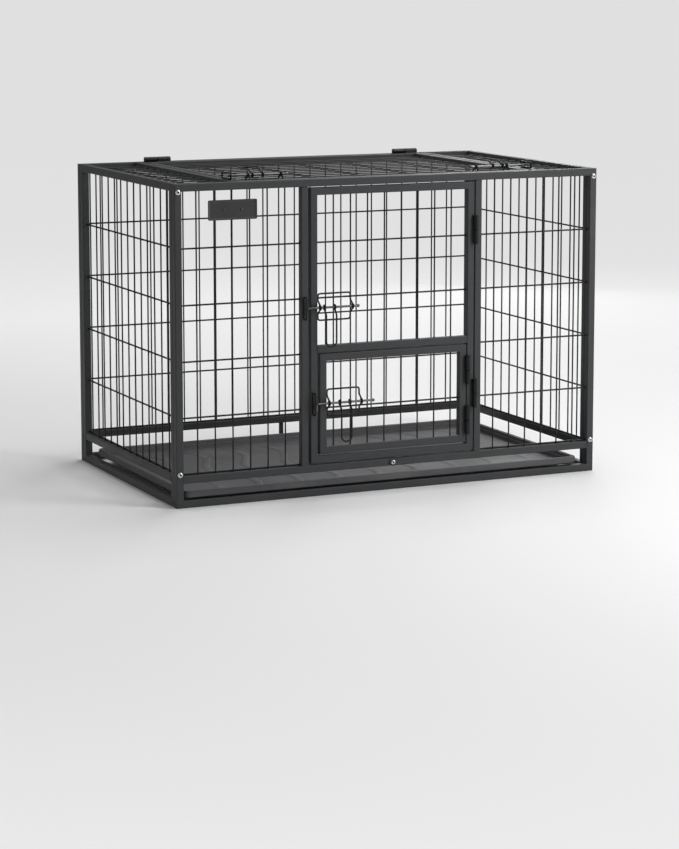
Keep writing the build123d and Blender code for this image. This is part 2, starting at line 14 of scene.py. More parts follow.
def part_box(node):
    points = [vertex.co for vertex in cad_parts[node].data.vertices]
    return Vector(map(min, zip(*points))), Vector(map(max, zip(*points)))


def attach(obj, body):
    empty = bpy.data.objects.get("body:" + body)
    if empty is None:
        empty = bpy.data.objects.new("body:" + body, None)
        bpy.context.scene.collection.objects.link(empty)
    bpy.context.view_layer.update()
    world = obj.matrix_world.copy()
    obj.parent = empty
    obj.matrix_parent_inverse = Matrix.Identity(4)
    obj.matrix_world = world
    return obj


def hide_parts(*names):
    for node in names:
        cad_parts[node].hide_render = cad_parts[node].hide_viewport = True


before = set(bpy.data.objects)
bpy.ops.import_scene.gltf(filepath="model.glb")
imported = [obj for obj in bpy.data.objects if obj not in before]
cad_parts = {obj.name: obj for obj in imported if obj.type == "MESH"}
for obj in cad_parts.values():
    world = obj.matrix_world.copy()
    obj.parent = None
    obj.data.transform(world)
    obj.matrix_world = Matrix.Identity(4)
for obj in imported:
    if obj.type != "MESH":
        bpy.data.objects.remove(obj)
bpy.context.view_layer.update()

mm = 0.001

# %% [markdown]
# The stock the crate is made from. These few sizes fix every tube, wire and
# latch; where each piece stands is read from its CAD node.

# %% Stock sizes
tube = 15 * mm
tube_round = 1.8 * mm
upright_d = 3.0 * mm
cross_d = 3.5 * mm
wire_pitch = 37 * mm
row_pitch = 109.5 * mm
latch_wire = 3.5 * mm
rod_d = 4.5 * mm
eye_r = 4.3 * mm
rod_out = 7 * mm
line_bead = 0.42 * mm
small_bead = 0.8 * mm
edge_bead = 0.9 * mm
seam_bead = 1.1 * mm
cross_blob = 1.95 * mm
end_swell = 0.72
cross_flat = 0.6
press_in = 0.3 * mm
shell_lo, shell_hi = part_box("front_frame")
front_y = shell_lo.y
back_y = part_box("back_frame")[1].y
left_x, right_x = shell_lo.x, shell_hi.x
roof_z = shell_hi.z
print("tubes span", round(right_x - left_x, 3), "by", round(back_y - front_y, 3))

# %% [markdown]
# Powder coat is sprayed as dust and baked, so it flows into a faint orange
# peel, gathers a little dust and rubs paler where hands touch it. A shader
# group makes that once: it gives a colour, a roughness and a height, and each
# material below puts its own values in.

# %% Helpers for shader groups


def new_group(name, inputs, outputs):
    tree = bpy.data.node_groups.new(name, "ShaderNodeTree")
    for label, kind, value in inputs:
        socket = tree.interface.new_socket(label, in_out="INPUT", socket_type=kind)
        socket.default_value = value
    for label, kind in outputs:
        tree.interface.new_socket(label, in_out="OUTPUT", socket_type=kind)
    return tree, tree.nodes.new("NodeGroupInput"), tree.nodes.new("NodeGroupOutput")


def noise_of(tree, place, scale, detail=2.0):
    node = tree.nodes.new("ShaderNodeTexNoise")
    node.inputs["Detail"].default_value = detail
    tree.links.new(place, node.inputs["Vector"])
    if isinstance(scale, (int, float)):
        node.inputs["Scale"].default_value = scale
    else:
        tree.links.new(scale, node.inputs["Scale"])
    return node.outputs["Fac"]


def reshape(tree, value, low, high, to_low, to_high):
    node = tree.nodes.new("ShaderNodeMapRange")
    for label, number in (("From Min", low), ("From Max", high), ("To Min", to_low), ("To Max", to_high)):
        if isinstance(number, (int, float)):
            node.inputs[label].default_value = number
        else:
            tree.links.new(number, node.inputs[label])
    tree.links.new(value, node.inputs["Value"])
    return node.outputs["Result"]


def blend_colour(tree, amount, first, second):
    node = tree.nodes.new("ShaderNodeMix")
    node.data_type = "RGBA"
    tree.links.new(amount, node.inputs["Factor"])
    for slot_index, colour in ((6, first), (7, second)):
        if isinstance(colour, tuple):
            node.inputs[slot_index].default_value = colour
        else:
            tree.links.new(colour, node.inputs[slot_index])
    return node.outputs[2]


def sums(tree, operation, first, second):
    node = tree.nodes.new("ShaderNodeMath")
    node.operation = operation
    for i, item in enumerate((first, second)):
        if isinstance(item, (int, float)):
            node.inputs[i].default_value = item
        else:
            tree.links.new(item, node.inputs[i])
    return node.outputs["Value"]


print("shader helpers ready")

# %% Powder coat group
coat, coat_in, coat_out = new_group(
    "powder_coat_skin",
    [("Coat Colour", "NodeSocketColor", (0.04, 0.04, 0.04, 1)),
     ("Rubbed Colour", "NodeSocketColor", (0.08, 0.08, 0.08, 1)),
     ("Peel Scale", "NodeSocketFloat", 700.0),
     ("Gloss Low", "NodeSocketFloat", 0.34),
     ("Gloss High", "NodeSocketFloat", 0.5),
     ("Dust", "NodeSocketFloat", 0.1)],
    [("Colour", "NodeSocketColor"), ("Roughness", "NodeSocketFloat"), ("Height", "NodeSocketFloat")],
)
place = coat.nodes.new("ShaderNodeTexCoord").outputs["Object"]
peel = noise_of(coat, place, coat_in.outputs["Peel Scale"], 3.0)
patches = noise_of(coat, place, 9.0, 5.0)
specks = noise_of(coat, place, 2600.0, 1.0)
rub = reshape(coat, patches, 0.42, 0.72, 0.0, 1.0)
tinted = blend_colour(coat, rub, coat_in.outputs["Coat Colour"], coat_in.outputs["Rubbed Colour"])
facing = coat.nodes.new("ShaderNodeSeparateXYZ")
coat.links.new(coat.nodes.new("ShaderNodeNewGeometry").outputs["Normal"], facing.inputs["Vector"])
upward = reshape(coat, facing.outputs["Z"], 0.3, 1.0, 0.0, coat_in.outputs["Dust"])
dusty = sums(coat, "MULTIPLY", upward, reshape(coat, specks, 0.4, 0.65, 0.3, 1.0))
coat.links.new(blend_colour(coat, dusty, tinted, (0.3, 0.29, 0.27, 1)), coat_out.inputs["Colour"])
coat.links.new(
    reshape(coat, patches, 0.35, 0.7, coat_in.outputs["Gloss Low"], coat_in.outputs["Gloss High"]),
    coat_out.inputs["Roughness"],
)
coat.links.new(sums(coat, "ADD", peel, sums(coat, "MULTIPLY", specks, 0.25)), coat_out.inputs["Height"])
print("powder coat group:", len(coat.nodes), "nodes")

# %% [markdown]
# The slide rods are dark drawn steel, and the panel bolts and tray lock bolts
# are zinc plated. Drawn wire keeps fine lines along its length and plating is
# cloudy, so the zinc group stretches one noise along X and mixes in a slow
# second one. It serves both.

# %% Zinc group
zinc, zinc_in, zinc_out = new_group(
    "bright_zinc_skin",
    [("Bright", "NodeSocketColor", (0.75, 0.76, 0.77, 1)), ("Dull", "NodeSocketColor", (0.5, 0.5, 0.5, 1)),
     ("Line Stretch", "NodeSocketVector", (40.0, 1400.0, 1400.0))],
    [("Colour", "NodeSocketColor"), ("Roughness", "NodeSocketFloat"), ("Height", "NodeSocketFloat")],
)
place = zinc.nodes.new("ShaderNodeTexCoord").outputs["Object"]
stretch = zinc.nodes.new("ShaderNodeVectorMath")
stretch.operation = "MULTIPLY"
zinc.links.new(place, stretch.inputs[0])
zinc.links.new(zinc_in.outputs["Line Stretch"], stretch.inputs[1])
drawn = noise_of(zinc, stretch.outputs["Vector"], 1.0, 2.0)
clouds = noise_of(zinc, place, 160.0, 4.0)
zinc.links.new(
    blend_colour(
        zinc, reshape(zinc, clouds, 0.4, 0.75, 0.0, 0.7), zinc_in.outputs["Bright"], zinc_in.outputs["Dull"],
    ),
    zinc_out.inputs["Colour"],
)
zinc.links.new(reshape(zinc, clouds, 0.3, 0.75, 0.2, 0.42), zinc_out.inputs["Roughness"])
zinc.links.new(drawn, zinc_out.inputs["Height"])
print("zinc group:", len(zinc.nodes), "nodes")

# %% [markdown]
# The tray is moulded from dark plastic. A spark-eroded mould leaves a fine
# grain of little cells, and use leaves hairline scratches and a dusty bloom.

# %% Moulded plastic group
mould, mould_in, mould_out = new_group(
    "moulded_plastic_skin",
    [("Body", "NodeSocketColor", (0.06, 0.06, 0.065, 1)), ("Bloom", "NodeSocketColor", (0.1, 0.1, 0.1, 1)),
     ("Grain Scale", "NodeSocketFloat", 1500.0)],
    [("Colour", "NodeSocketColor"), ("Roughness", "NodeSocketFloat"), ("Height", "NodeSocketFloat")],
)
place = mould.nodes.new("ShaderNodeTexCoord").outputs["Object"]
cells = mould.nodes.new("ShaderNodeTexVoronoi")
mould.links.new(place, cells.inputs["Vector"])
mould.links.new(mould_in.outputs["Grain Scale"], cells.inputs["Scale"])
bloom = noise_of(mould, place, 12.0, 6.0)
warp = mould.nodes.new("ShaderNodeVectorMath")
warp.operation = "MULTIPLY"
mould.links.new(place, warp.inputs[0])
warp.inputs[1].default_value = (26.0, 420.0, 60.0)
scratch = noise_of(mould, warp.outputs["Vector"], 1.0, 6.0)
lines = reshape(mould, scratch, 0.66, 0.7, 0.0, 1.0)
hazed = reshape(mould, bloom, 0.45, 0.75, 0.0, 0.8)
worn = sums(mould, "MAXIMUM", hazed, sums(mould, "MULTIPLY", lines, 0.35))
mould.links.new(
    blend_colour(mould, worn, mould_in.outputs["Body"], mould_in.outputs["Bloom"]),
    mould_out.inputs["Colour"],
)
mould.links.new(reshape(mould, bloom, 0.3, 0.7, 0.42, 0.6), mould_out.inputs["Roughness"])
mould.links.new(sums(mould, "SUBTRACT", cells.outputs["Distance"], lines), mould_out.inputs["Height"])
print("plastic group:", len(mould.nodes), "nodes")

# %% [markdown]
# A material is one Principled shader fed by a group. Only what changes over the
# surface comes through the group; plain numbers are set on the shader itself.

# %% Materials


def finish_from(name, group, values, bump, reach, metallic=0.0, specular=0.5):
    made = bpy.data.materials.new(name)
    made.use_nodes = True
    tree = made.node_tree
    shader = tree.nodes["Principled BSDF"]
    skin = tree.nodes.new("ShaderNodeGroup")
    skin.node_tree = group
    for label, value in values.items():
        skin.inputs[label].default_value = value
    relief = tree.nodes.new("ShaderNodeBump")
    relief.inputs["Strength"].default_value = bump
    relief.inputs["Distance"].default_value = reach
    tree.links.new(skin.outputs["Colour"], shader.inputs["Base Color"])
    tree.links.new(skin.outputs["Roughness"], shader.inputs["Roughness"])
    tree.links.new(skin.outputs["Height"], relief.inputs["Height"])
    tree.links.new(relief.outputs["Normal"], shader.inputs["Normal"])
    shader.inputs["Metallic"].default_value = metallic
    shader.inputs["Specular IOR Level"].default_value = specular
    return made


frame_coat = finish_from(
    "charcoal powder coat", coat,
    {"Coat Colour": (0.038, 0.040, 0.042, 1), "Rubbed Colour": (0.046, 0.048, 0.050, 1), "Dust": 0.01,
     "Gloss Low": 0.42, "Gloss High": 0.58},
    0.35, 0.00012, specular=0.3,
)
wire_coat = finish_from(
    "black wire coat", coat,
    {"Coat Colour": (0.008, 0.008, 0.009, 1), "Rubbed Colour": (0.012, 0.012, 0.013, 1), "Dust": 0.02,
     "Gloss Low": 0.3, "Gloss High": 0.42, "Peel Scale": 900.0},
    0.3, 0.0001, specular=0.25,
)
rod_steel = finish_from(
    "drawn rod steel", zinc, {"Bright": (0.15, 0.15, 0.155, 1), "Dull": (0.08, 0.08, 0.08, 1)},
    0.12, 0.00004, metallic=1.0,
)
bright_zinc = finish_from("bright zinc plate", zinc, {}, 0.12, 0.00004, metallic=1.0)
# Near-black for the inside of bolt sockets: painted shade in the recess, not a colour the zinc has.
socket_painted_shade = finish_from(
    "painted shade in socket", coat, {"Coat Colour": (0.01, 0.01, 0.01, 1), "Rubbed Colour": (0.014, 0.014, 0.014, 1)},
    0.2, 0.0001,
)
tray_plastic = finish_from("moulded tray plastic", mould, {}, 0.35, 0.00015, specular=0.4)
plate_coat = finish_from(
    "bare plate coat", coat,
    {"Coat Colour": (0.022, 0.022, 0.024, 1), "Rubbed Colour": (0.03, 0.03, 0.032, 1), "Peel Scale": 500.0,
     "Gloss Low": 0.28, "Gloss High": 0.4},
    0.25, 0.0001,
)
print("materials:", len(bpy.data.materials))

# %% [markdown]
# Everything on the crate is bar or tube, so one sweep does most of the work: a
# ring of points is carried along a path and joined to the next ring. Blender's
# curves could do it too, but a mesh sweep lets each ring lean at a mitre or
# swell at a weld.

# %% Sweeps


def ring_frames(path, closed=False):
    """For each point of a path, two directions square to it that don't twist."""
    count = len(path)
    ways = []
    for i in range(count):
        before = path[i - 1] if closed or i > 0 else path[i]
        after = path[(i + 1) % count] if closed or i < count - 1 else path[i]
        ways.append((after - before).normalized())
    side = ways[0].orthogonal().normalized()
    frames = []
    for way in ways:
        side = (side - way * side.dot(way)).normalized()
        frames.append((side.copy(), way.cross(side)))
    return frames


def join_rings(bm, rings, closed=False, caps=True):
    count = len(rings)
    for i in range(count if closed else count - 1):
        here, there = rings[i], rings[(i + 1) % count]
        for k in range(len(here)):
            n = (k + 1) % len(here)
            bm.faces.new((here[k], here[n], there[n], there[k]))
    if caps and not closed:
        bm.faces.new(list(reversed(rings[0])))
        bm.faces.new(rings[-1])


def sweep_round(bm, path, radius, sides=12, closed=False):
    """Round bar along a path; radius is one number or one for each point."""
    rings = []
    for i, (a, b) in enumerate(ring_frames(path, closed)):
        r = radius[i] if isinstance(radius, list) else radius
        rings.append([
            bm.verts.new(path[i] + (a * math.cos(t) + b * math.sin(t)) * r)
            for t in (2 * math.pi * k / sides for k in range(sides))
        ])
    join_rings(bm, rings, closed)


def bend_path(corners, bend, steps=6, closed=False):
    """Straight runs with a round bend at every corner."""
    points = [Vector(c) for c in corners]
    path = []
    for i, corner in enumerate(points):
        if not closed and i in (0, len(points) - 1):
            path.append(corner)
            continue
        back = (points[i - 1] - corner).normalized()
        ahead = (points[(i + 1) % len(points)] - corner).normalized()
        half = math.acos(max(-1, min(1, back.dot(ahead)))) / 2
        centre = corner + (back + ahead).normalized() * bend / math.sin(half)
        start = corner + back * bend / math.tan(half) - centre
        end = corner + ahead * bend / math.tan(half) - centre
        turn = start.angle(end)
        for k in range(steps + 1):
            t = k / steps
            spoke = (start * math.sin((1 - t) * turn) + end * math.sin(t * turn)) / math.sin(turn)
            path.append(centre + spoke)
    return path


def lathe(bm, centre, axis, profile, sides=28):
    """Turned shape: profile is (along, radius) pairs; a radius below zero is six-sided."""
    side = axis.orthogonal().normalized()
    other = axis.cross(side)
    rings = []
    for along, radius in profile:
        ring = []
        for k in range(sides):
            t = 2 * math.pi * k / sides
            r = radius
            if radius < 0:
                r = -radius / math.cos((t + math.pi / 6) % (math.pi / 3) - math.pi / 6)
            ring.append(bm.verts.new(centre + axis * along + (side * math.cos(t) + other * math.sin(t)) * r))
        rings.append(ring)
    join_rings(bm, rings)


def blob(bm, centre, radius, flat=(1, 1, 1)):
    """Little lump of weld metal."""
    made = bmesh.ops.create_icosphere(bm, subdivisions=2, radius=radius)
    for v in made["verts"]:
        swell = 1 + 0.12 * noise.noise(v.co * 900 + centre * 70)
        v.co = Vector((v.co.x * flat[0], v.co.y * flat[1], v.co.z * flat[2])) * swell + centre


def bead(bm, start, end, radius):
    """Weld bead: a thin sweep that ripples as the torch moves along."""
    steps = max(6, int((end - start).length / (1.1 * mm)))
    path = [start.lerp(end, k / steps) for k in range(steps + 1)]
    widths = [
        radius * (0.8 + 0.25 * math.sin(k * 1.7) ** 2 + 0.15 * noise.noise(path[k] * 400))
        for k in range(steps + 1)
    ]
    widths[0] *= 0.5
    widths[-1] *= 0.5
    sweep_round(bm, path, widths, 8)


print("sweeps ready")

# %% Turning a mesh into a piece


def as_piece(name, bm, body, finishes, stands_for=()):
    """Mesh to object, riding on its body and standing for its CAD nodes."""
    bmesh.ops.recalc_face_normals(bm, faces=bm.faces)
    mesh = bpy.data.meshes.new(name)
    bm.to_mesh(mesh)
    bm.free()
    for item in finishes if isinstance(finishes, list) else [finishes]:
        mesh.materials.append(item)
    mesh.shade_smooth()
    mesh.set_sharp_from_angle(angle=math.radians(38))
    made = bpy.data.objects.new(name, mesh)
    bpy.context.collection.objects.link(made)
    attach(made, body)
    if stands_for:
        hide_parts(*stands_for)
    print(f"{name}: {len(mesh.polygons)} faces on {body}")
    return made


# %% [markdown]
# The square tube has rounded corners. Its section is carried between two
# points; at a mitre each ring leans by as much as the point lies inside or
# outside the middle line, so two members meet on the diagonal. Extra points
# beside each corner keep the flats looking flat.

# %% Square tube


def tube_section():
    half = tube / 2
    points = []
    for quarter in range(4):
        turn = math.pi / 2 * quarter
        corner = [(-0.4 * mm, 0.0)] + [(None, a) for a in range(6)] + [(0.4 * mm, 1.0)]
        for lead, step in corner:
            cx = half - tube_round
            if lead is None:
                a = math.pi / 2 * step / 5
                u = cx + tube_round * math.cos(a)
                v = cx + tube_round * math.sin(a)
            elif step == 0.0:
                u, v = half, cx + lead
            else:
                u, v = cx - lead, half
            points.append((
                u * math.cos(turn) - v * math.sin(turn), u * math.sin(turn) + v * math.cos(turn),
            ))
    return points


def square_tube(bm, start, end, inward, lean_start=0, lean_end=0):
    way = (end - start).normalized()
    other = way.cross(inward)
    rings = []
    for at, lean in ((start, lean_start), (end, -lean_end)):
        rings.append([
            bm.verts.new(at + inward * u + other * v + way * u * lean) for u, v in tube_section()
        ])
    join_rings(bm, rings)


def tube_ring(bm, low, high, out):
    """Four mitred tubes inside a flat box, with a weld line on each diagonal."""
    axes = [i for i in range(3) if i != out]
    a, b = axes
    mid = (low[out] + high[out]) / 2
    half = tube / 2
    corners = []
    for pa, pb in ((0, 0), (1, 0), (1, 1), (0, 1)):
        c = Vector((0, 0, 0))
        c[out] = mid
        c[a] = high[a] - half if pa else low[a] + half
        c[b] = high[b] - half if pb else low[b] + half
        corners.append(c)
    centre = sum(corners, Vector()) / 4
    for i in range(4):
        c, d = corners[i], corners[(i + 1) % 4]
        way = (d - c).normalized()
        middle = (c + d) / 2
        inward = centre - middle
        inward = (inward - way * inward.dot(way)).normalized()
        square_tube(bm, c, d, inward, 1, 1)
        diagonal = (way + inward).normalized()
        for face in (-1, 1):
            off = Vector((0, 0, 0))
            off[out] = face * (half - 0.25 * mm)
            reach = (half - 0.9 * mm) * math.sqrt(2)
            bead(bm, c - diagonal * reach + off, c + diagonal * reach + off, line_bead)
        inner = c + diagonal * half * math.sqrt(2)
        run = Vector((0, 0, 0))
        run[out] = half - 1.5 * mm
        bead(bm, inner - run, inner + run, seam_bead)


def butt_weld(bm, at, way, inward):
    """Beads round the end of a tube that meets another squarely."""
    half = tube / 2 - tube_round
    other = way.cross(inward)
    for a, b in ((inward, other), (other, inward)):
        for sign in (-1, 1):
            edge = at + a * sign * tube / 2
            if edge.z > 1 * mm:
                bead(bm, edge - b * half, edge + b * half, edge_bead)


def rail(bm, start, end, inward):
    square_tube(bm, start, end, inward)
    way = (end - start).normalized()
    butt_weld(bm, start, way, inward)
    butt_weld(bm, end, -way, inward)


print("tube section:", len(tube_section()), "points")

# %% [markdown]
# The four fixed panels are mitred rings with a lower rail. The ends stand
# between the front and the back, so their posts show as a second tube behind
# each corner.

# %% Fixed panels
up = Vector((0, 0, 1))
slot_top = 48 * mm
rail_z = slot_top + tube / 2
for name, out, along in (
    ("front_frame", 1, 0), ("back_frame", 1, 0), ("left_end_frame", 0, 1), ("right_end_frame", 0, 1),
):
    low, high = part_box(name)
    bm = bmesh.new()
    tube_ring(bm, low, high, out)
    start = (low + high) / 2
    start.z = rail_z
    end = start.copy()
    start[along] = low[along] + tube
    end[along] = high[along] - tube
    rail(bm, start, end, up)
    as_piece(name + "_tubes", bm, "cage", frame_coat, [name])

# %% Door posts, roof bars and floor bars
for name, along, places in (
    ("door_posts", 2, [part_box("door_posts")[0].x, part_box("door_posts")[1].x - tube]),
    ("roof_bars", 1, [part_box("roof_bars")[0].x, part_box("roof_bars")[1].x - tube]),
    ("floor_bars", 1, [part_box("floor_bars")[0].x, -tube / 2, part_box("floor_bars")[1].x - tube]),
):
    low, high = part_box(name)
    bm = bmesh.new()
    for x in places:
        start = (low + high) / 2
        start.x = x + tube / 2
        end = start.copy()
        start[along] = low[along]
        end[along] = high[along]
        rail(bm, start, end, Vector((1, 0, 0)))
    as_piece(name + "_tubes", bm, "cage", frame_coat, [name])

# %% [markdown]
# The mesh is resistance welded: the cross wires are pressed a little into the
# uprights, which leaves a small squeezed lump at every crossing, and each wire
# end is tacked to its tube. The sheet is one mesh piece per panel.

# %% Wire mesh


def wire_panel(name, body, out, face_sign, uprights, rows):
    """out is the axis square to the panel; face_sign points to its outer side."""
    low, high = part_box(name)
    across, along = [i for i in range(3) if i != out]
    outer = high[out] if face_sign > 0 else low[out]
    up_at = outer - face_sign * upright_d / 2
    row_at = up_at - face_sign * ((upright_d + cross_d) / 2 - press_in)
    bm = bmesh.new()

    def spot(a, b, c):
        p = Vector((0, 0, 0))
        p[across] = a
        p[along] = b
        p[out] = c
        return p

    for a in uprights:
        sweep_round(bm, [spot(a, low[along], up_at), spot(a, high[along], up_at)], upright_d / 2, 14)
        for b in (low[along], high[along]):
            blob(bm, spot(a, b, up_at), upright_d * end_swell)
    for b in rows:
        sweep_round(bm, [spot(low[across], b, row_at), spot(high[across], b, row_at)], cross_d / 2, 14)
        for a in (low[across], high[across]):
            blob(bm, spot(a, b, row_at), cross_d * end_swell)
        for a in uprights:
            flat = [1, 1, 1]
            flat[out] = cross_flat
            blob(bm, spot(a, b, (up_at + row_at) / 2), cross_blob, flat)
    return as_piece(name.replace("mesh", "wires"), bm, body, wire_coat, [name])


margin = 32 * mm
row_low = slot_top + tube + cross_d / 2
rows = [row_low + row_pitch * k for k in range(5)]
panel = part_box("front_mesh_left")
wire_panel("front_mesh_left", "cage", 1, -1, [panel[0].x + margin + wire_pitch * k for k in range(6)], rows)
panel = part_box("front_mesh_right")
wire_panel("front_mesh_right", "cage", 1, -1, [panel[1].x - margin - wire_pitch * k for k in range(6)], rows)
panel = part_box("back_mesh")
wire_panel("back_mesh", "cage", 1, 1, [panel[0].x + margin + wire_pitch * k for k in range(23)], rows)
end_lines = [wire_pitch * (k - 6) for k in range(13)]
wire_panel("left_end_mesh", "cage", 0, -1, end_lines, rows)
wire_panel("right_end_mesh", "cage", 0, 1, end_lines, rows)

# %% Roof, lid and door mesh


def roof_panel(name, body, crossings):
    """Roof wires run from side to side, with the heavier ones below, front to back."""
    low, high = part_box(name)
    up_at = high.z - upright_d / 2
    row_at = up_at - (upright_d + cross_d) / 2 + 0.3 * mm
    bm = bmesh.new()
    for y in end_lines:
        sweep_round(bm, [Vector((low.x, y, up_at)), Vector((high.x, y, up_at))], upright_d / 2, 14)
        for x in (low.x, high.x):
            blob(bm, Vector((x, y, up_at)), upright_d * end_swell)
    for x in crossings:
        sweep_round(bm, [Vector((x, low.y, row_at)), Vector((x, high.y, row_at))], cross_d / 2, 14)
        for y in (low.y, high.y):
            blob(bm, Vector((x, y, row_at)), cross_d * end_swell)
        for y in end_lines:
            blob(bm, Vector((x, y, (up_at + row_at) / 2)), cross_blob, (1, 1, cross_flat))
    return as_piece(name.replace("mesh", "wires"), bm, body, wire_coat, [name])


for name in ("roof_mesh_left", "roof_mesh_right"):
    low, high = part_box(name)
    roof_panel(name, "cage", [(low.x + high.x) / 2])
roof_panel("lid_mesh", "lid", [row_pitch * (k - 2) for k in range(5)])
low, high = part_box("small_door_mesh")
door_lines = [(low.x + high.x) / 2 + wire_pitch * (k - 3.5) for k in range(8)]
wire_panel("small_door_mesh", "small_door", 1, -1, door_lines, rows[1:2])
wire_panel("door_mesh", "door", 1, -1, door_lines, rows[3:])

# %% [markdown]
# The big door, the small door in its lower half and the lid are mitred rings
# like the panels. The big door has a middle rail above the small door.

# %% Moving frames
low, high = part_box("door_frame")
bm = bmesh.new()
tube_ring(bm, low, high, 1)
rail_mid = 285 * mm + tube / 2
mid_y = (low.y + high.y) / 2
rail(bm, Vector((low.x + tube, mid_y, rail_mid)), Vector((high.x - tube, mid_y, rail_mid)), up)
as_piece("door_tubes", bm, "door", frame_coat, ["door_frame"])
for name, body, out in (("small_door_frame", "small_door", 1), ("lid_frame", "lid", 2)):
    low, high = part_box(name)
    bm = bmesh.new()
    tube_ring(bm, low, high, out)
    as_piece(name.replace("frame", "tubes"), bm, body, frame_coat, [name])

# %% [markdown]
# Weld-on barrel hinges: a turned knuckle with chamfered ends on each side of
# the gap, a foot that reaches its tube and a bead along the foot. The lower
# knuckle holds the pin, which shows as a ring in the joint.

# %% Hinges
knuckle_r = 5 * mm
hinge_len = 58 * mm
knuckle_len = 28.7 * mm
axis_out = 5.3 * mm
foot_w = 4 * mm


def knuckle(bm, centre, axis, to_foot, to_tube, pinned):
    """One knuckle; to_foot points across the gap, to_tube from axis to tube face."""
    half = knuckle_len / 2
    cut = 0.9 * mm
    bore = 2.55 * mm
    weld_at = 0.97  # share of the way from axis to tube face
    lathe(bm, centre, axis, [
        (-half, bore), (-half, knuckle_r - cut), (-half + cut, knuckle_r), (half - cut, knuckle_r),
        (half, knuckle_r - cut), (half, bore),
    ])
    near = to_foot * 0.95 * mm
    far = to_foot * (0.95 * mm + foot_w)
    tip = to_tube * axis_out
    path_low = centre - axis * (half - 0.6 * mm)
    path_high = centre + axis * (half - 0.6 * mm)
    corners = [near, far, far + tip, near + tip]
    rings = [[bm.verts.new(base + c) for c in corners] for base in (path_low, path_high)]
    join_rings(bm, rings)
    seam = far + tip * weld_at
    bead(bm, path_low + seam, path_high + seam, seam_bead)
    for base in (path_low, path_high):
        bead(bm, base + near + tip * weld_at, base + far + tip * weld_at, small_bead)
    if pinned:
        pin = [
            (half - 2 * mm, 0.4 * mm), (half - 2 * mm, 2.5 * mm),
            (half + 2 * mm, 2.5 * mm), (half + 2 * mm, 0.4 * mm),
        ]
        lathe(bm, centre, axis, pin, 20)


def upright_hinges(pins, knuckles, pin_body, knuckle_body):
    low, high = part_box(pins)
    axis_x = (low.x + high.x) / 2
    axis_y = front_y - axis_out
    starts = [low.z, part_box(knuckles)[1].z - hinge_len]
    to_tube = Vector((0, 1, 0))
    for node, body, side, offset, pinned in (
        (pins, pin_body, 1, knuckle_len / 2, True),
        (knuckles, knuckle_body, -1, hinge_len - knuckle_len / 2, False),
    ):
        bm = bmesh.new()
        for z in starts:
            knuckle(bm, Vector((axis_x, axis_y, z + offset)), up, Vector((side, 0, 0)), to_tube, pinned)
        as_piece(node.replace("hinge", "barrel"), bm, body, wire_coat, [node])


upright_hinges("door_hinge_pins", "door_hinge_knuckles", "cage", "door")
upright_hinges("small_hinge_pins", "small_hinge_knuckles", "door", "small_door")

low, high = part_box("lid_hinge_pins")
lid_axis_y = high.y - knuckle_r
for node, body, side, offset, pinned in (
    ("lid_hinge_pins", "cage", 1, knuckle_len / 2, True),
    ("lid_hinge_knuckles", "lid", -1, hinge_len - knuckle_len / 2, False),
):
    bm = bmesh.new()
    for start in (low.x, -low.x - hinge_len):
        spot = Vector((start + offset, lid_axis_y, roof_z + axis_out))
        knuckle(bm, spot, Vector((1, 0, 0)), Vector((0, side, 0)), Vector((0, 0, -1)), pinned)
    as_piece(node.replace("hinge", "barrel"), bm, body, wire_coat, [node])

# %% [markdown]
# A slide latch is three pieces of bent wire. The bracket is a ring of wire
# whose sides rise to an eye for the rod, the rod has a ball stop pressed on one
# end, and the pull handle is a U that hangs on the rod between the eyes.

# %% Slide latches
joint_blob = 1.82 * mm  # weld lump where a wire joins its eye


def on_door(centre, x, out, drop):
    return Vector((x, front_y - out, centre.z - drop))


def on_lid(centre, x, out, drop):
    return Vector((x, centre.y + drop, roof_z + out))


def eye(bm, centre):
    ring = [
        centre + Vector((0, math.cos(t), math.sin(t))) * eye_r
        for t in (2 * math.pi * k / 36 for k in range(36))
    ]
    sweep_round(bm, ring, latch_wire / 2 + 0.05 * mm, 14, True)


def bracket_piece(name, body, spot):
    low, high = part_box(name)
    centre = (low + high) / 2
    left = low.x + latch_wire / 2 + 0.05 * mm
    right = high.x - latch_wire / 2 - 0.05 * mm
    rest, half, waist = -4.25 * mm, 26.25 * mm, 13 * mm
    bm = bmesh.new()
    for x in (left, right):
        eye(bm, spot(centre, x, rod_out, 0))
    for side in (-1, 1):
        path = bend_path(
            [spot(centre, left, rod_out, side * eye_r), spot(centre, left, rest, side * waist),
             spot(centre, left, rest, side * half), spot(centre, right, rest, side * half),
             spot(centre, right, rest, side * waist), spot(centre, right, rod_out, side * eye_r)],
            5 * mm, 8,
        )
        sweep_round(bm, path, latch_wire / 2, 14)
        for x in (left, right):
            blob(bm, spot(centre, x, rod_out, side * eye_r), joint_blob)
    return as_piece(name + "_wire", bm, body, wire_coat, [name])


